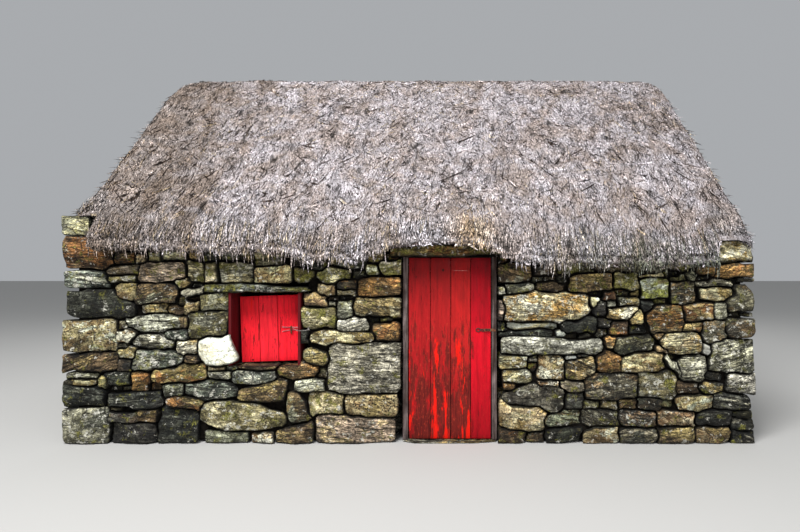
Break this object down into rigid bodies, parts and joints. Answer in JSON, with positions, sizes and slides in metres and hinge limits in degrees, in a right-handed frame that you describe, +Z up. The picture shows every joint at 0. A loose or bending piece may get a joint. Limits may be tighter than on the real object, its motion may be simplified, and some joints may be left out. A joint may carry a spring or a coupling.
{
  "type": "thatched stone cottage",
  "caption": "Small dry-stone cottage with a straw-thatched gabled roof, a red plank door that opens inwards and a red shuttered window.",
  "frame": {"origin": "on the ground, under the middle of the cottage", "axes": "+X along the front wall, to the right as seen from the front; -Y out of the front; +Z up"},
  "size_m": [6.62, 4.96, 4.14],
  "materials": {
    "walling": "rough field stone",
    "mossy_stone": "rough, mossy",
    "thatch": "weathered straw",
    "roof_timber": "rough poles",
    "frame_timber": "bare, weathered",
    "red_paint": "worn red paint",
    "ironwork": "rusty black"
  },
  "bodies": {
    "cottage": {"front_wall_left": "walling", "front_wall_under_window": "walling", "front_wall_over_window": "walling", "front_wall_middle": "walling", "front_wall_right": "walling", "back_wall": "walling", "left_gable_wall": "walling", "right_gable_wall": "walling", "left_gable_peak": "walling", "right_gable_peak": "walling", "corner_stone_left": "walling", "corner_stone_right": "walling", "door_threshold": "walling", "door_lintel": "mossy_stone", "window_lintel": "mossy_stone", "thatch_front": "thatch", "thatch_back": "thatch", "ridge_pole": "roof_timber", "purlin_front": "roof_timber", "purlin_back": "roof_timber", "rafter_front": "roof_timber", "rafter_back": "roof_timber", "rafter_collar": "roof_timber", "door_post_left": "frame_timber", "door_post_right": "frame_timber", "door_pintle_lower": "ironwork", "door_pintle_upper": "ironwork", "door_hasp": "ironwork", "window_post_left": "red_paint", "window_post_right": "red_paint", "shutter_board_1": "red_paint", "shutter_board_2": "red_paint", "shutter_board_3": "red_paint", "shutter_ledge_lower": "frame_timber", "shutter_ledge_upper": "frame_timber", "shutter_hasp": "ironwork"},
    "door": {"door_board_1": "red_paint", "door_board_2": "red_paint", "door_board_3": "red_paint", "door_board_4": "red_paint", "door_ledge_bottom": "frame_timber", "door_ledge_middle": "frame_timber", "door_ledge_top": "frame_timber", "door_hinge_lower": "ironwork", "door_hinge_upper": "ironwork", "door_staple": "ironwork"}
  },
  "joints": [
    {"name": "door_hinge", "type": "hinge", "parent": "cottage", "child": "door", "pos_m": [-0.03, -2.134, 0], "axis": [0, 0, 1], "range_deg": [0, 90]}
  ]
}
